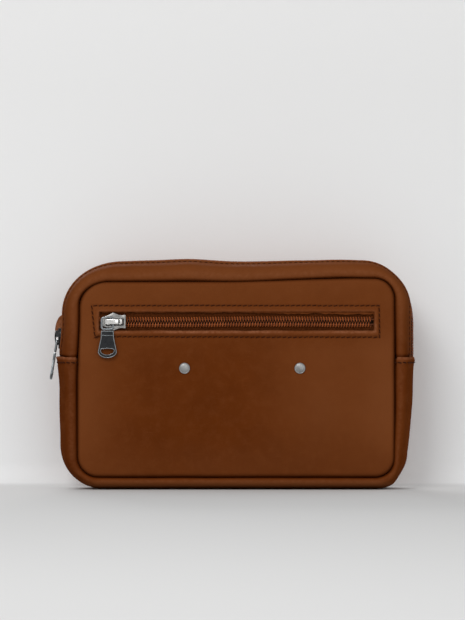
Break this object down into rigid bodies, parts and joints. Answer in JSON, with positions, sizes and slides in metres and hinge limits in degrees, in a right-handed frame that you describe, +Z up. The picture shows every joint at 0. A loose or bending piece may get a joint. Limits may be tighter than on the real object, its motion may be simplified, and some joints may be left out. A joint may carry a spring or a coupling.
{
  "type": "waist pack",
  "caption": "Box-shaped leather waist pack with a zip over its top, a zipped front pocket and belt loops on its back.",
  "frame": {"origin": "middle of the flat base, halfway between front and back", "axes": "+Z up, -Y out of the front, +X to the right seen from the front"},
  "size_m": [0.2326, 0.0612, 0.1476],
  "materials": {
    "leather": "smooth waxed full-grain leather, satin",
    "lining": "cotton twill, matte",
    "board": "bonded leather board, matte",
    "zip_tape": "woven polyester tape, matte",
    "zip_coil": "dyed nylon coil, satin",
    "nickel": "polished nickel plate",
    "gunmetal": "dark gunmetal plate with bright worn edges"
  },
  "bodies": {
    "root": {"back_panel": "leather", "front_panel_lower": "leather", "rear_zip_gusset": "leather", "lower_gusset": "leather", "belt_loop_left": "leather", "belt_loop_right": "leather", "front_lining_lower": "lining", "back_lining": "lining", "lower_gusset_lining": "lining", "pocket_bag_lower": "lining", "back_stiffener": "board", "base_stiffener": "board", "main_zip_tape_rear": "zip_tape", "main_zip_tape_start": "zip_tape", "main_zip_coil_rear": "zip_coil", "main_zip_coil_start": "zip_coil", "rivet_cap_left": "nickel", "rivet_cap_right": "nickel", "rivet_washer_left": "nickel", "rivet_washer_right": "nickel"},
    "front_shell": {"front_panel_upper": "leather", "front_lining_upper": "lining", "front_zip_gusset": "leather", "main_zip_tape_front": "zip_tape", "main_zip_coil_front": "zip_coil", "pocket_zip_tape_upper": "zip_tape", "pocket_zip_tape_lower": "zip_tape", "pocket_zip_coil_upper": "zip_coil", "pocket_zip_coil_lower": "zip_coil", "pocket_bag_front_upper": "lining", "pocket_bag_back_upper": "lining"},
    "main_slider": {"main_slider_body": "nickel", "main_slider_bridge": "nickel"},
    "main_puller": {"main_puller": "gunmetal"},
    "pocket_slider": {"pocket_slider_body": "nickel", "pocket_slider_bridge": "nickel"},
    "pocket_puller": {"pocket_puller": "gunmetal"}
  },
  "joints": [
    {"name": "mouth_open", "type": "hinge", "parent": "root", "child": "front_shell", "pos_m": [0, -0.025, 0.0845], "axis": [1, 0, 0], "range_deg": [0, 35]},
    {"name": "main_slider_slide", "type": "slide", "parent": "root", "child": "main_slider", "axis": [0, 0, 1], "range_m": [0, 0.012]},
    {"name": "main_puller_lift", "type": "hinge", "parent": "main_slider", "child": "main_puller", "pos_m": [-0.1148, 0, 0.096], "axis": [0, 1, 0], "range_deg": [0, 140]},
    {"name": "pocket_slider_slide", "type": "slide", "parent": "front_shell", "child": "pocket_slider", "axis": [1, 0, 0], "range_m": [0, 0.157]},
    {"name": "pocket_puller_swivel", "type": "hinge", "parent": "pocket_slider", "child": "pocket_puller", "pos_m": [-0.0829, -0.0278, 0.1072], "axis": [0, 1, 0], "range_deg": [-30, 180]}
  ]
}
